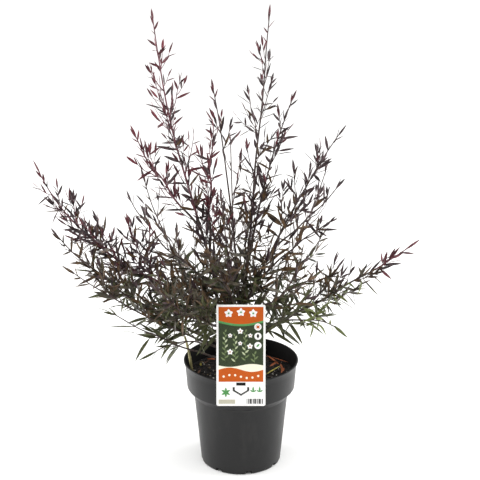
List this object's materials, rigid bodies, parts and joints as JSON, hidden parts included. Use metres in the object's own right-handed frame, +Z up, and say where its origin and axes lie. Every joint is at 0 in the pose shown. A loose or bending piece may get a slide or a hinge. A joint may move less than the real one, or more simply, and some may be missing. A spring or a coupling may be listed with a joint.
{
  "type": "potted tea tree shrub",
  "caption": "Young dark-leaved tea tree with slender rising stems and narrow leaves, growing in a black nursery pot with a plant card hooked on its rim.",
  "frame": {"origin": "the middle of the pot's flat underside", "axes": "+Z up the trunk, -Y towards the front where the plant card hangs, +X to the right seen from the front"},
  "size_m": [0.5242, 0.3746, 0.6657],
  "materials": {
    "pot_plastic": "black moulded plastic with a soft sheen",
    "potting_mix": "damp dark bark mix with pale grit",
    "card_plastic": "printed white plastic card",
    "bark": "thin grey-brown bark, purple-red on young wood",
    "pale_shoot": "smooth pale yellow-green shoot",
    "leaf_dark": "narrow purple-black leaves with a faint sheen",
    "leaf_red": "narrow purple-red leaves",
    "leaf_green": "narrow dark olive-green leaves"
  },
  "bodies": {
    "root": {"pot": "pot_plastic", "potting_mix": "potting_mix", "plant_card": "card_plastic", "trunk": "bark", "pale_shoot": "pale_shoot", "bough_tall_right": "bark", "foliage_tall_right": "leaf_dark", "bough_tall_left": "bark", "foliage_tall_left": "leaf_red", "bough_far_left": "bark", "foliage_far_left": "leaf_dark", "bough_left_middle": "bark", "foliage_left_middle": "leaf_dark", "bough_left_front": "bark", "foliage_left_front": "leaf_dark", "bough_left_back": "bark", "foliage_left_back": "leaf_dark", "bough_left_upper": "bark", "foliage_left_upper": "leaf_red", "bough_inner_left": "bark", "foliage_inner_left": "leaf_red", "bough_centre_back": "bark", "foliage_centre_back": "leaf_dark", "bough_centre_front": "bark", "foliage_centre_front": "leaf_dark", "bough_right_inner": "bark", "foliage_right_inner": "leaf_dark", "bough_right_upper": "bark", "foliage_right_upper": "leaf_dark", "bough_right_middle": "bark", "foliage_right_middle": "leaf_dark", "bough_right_front": "bark", "foliage_right_front": "leaf_dark", "bough_right_low": "bark", "foliage_right_low": "leaf_dark", "bough_right_foot": "bark", "foliage_right_foot": "leaf_green", "bough_left_foot": "bark", "foliage_left_foot": "leaf_green", "bough_left_skirt": "bark", "foliage_left_skirt": "leaf_green", "bough_front_left": "bark", "foliage_front_left": "leaf_dark", "bough_front_centre": "bark", "foliage_front_centre": "leaf_dark", "bough_front_right": "bark", "foliage_front_right": "leaf_dark", "bough_back_left": "bark", "foliage_back_left": "leaf_dark", "bough_back_left_low": "bark", "foliage_back_left_low": "leaf_green", "bough_back_middle": "bark", "foliage_back_middle": "leaf_dark", "bough_back_right": "bark", "foliage_back_right": "leaf_dark", "bough_back_right_low": "bark", "foliage_back_right_low": "leaf_green"}
  },
  "joints": []
}
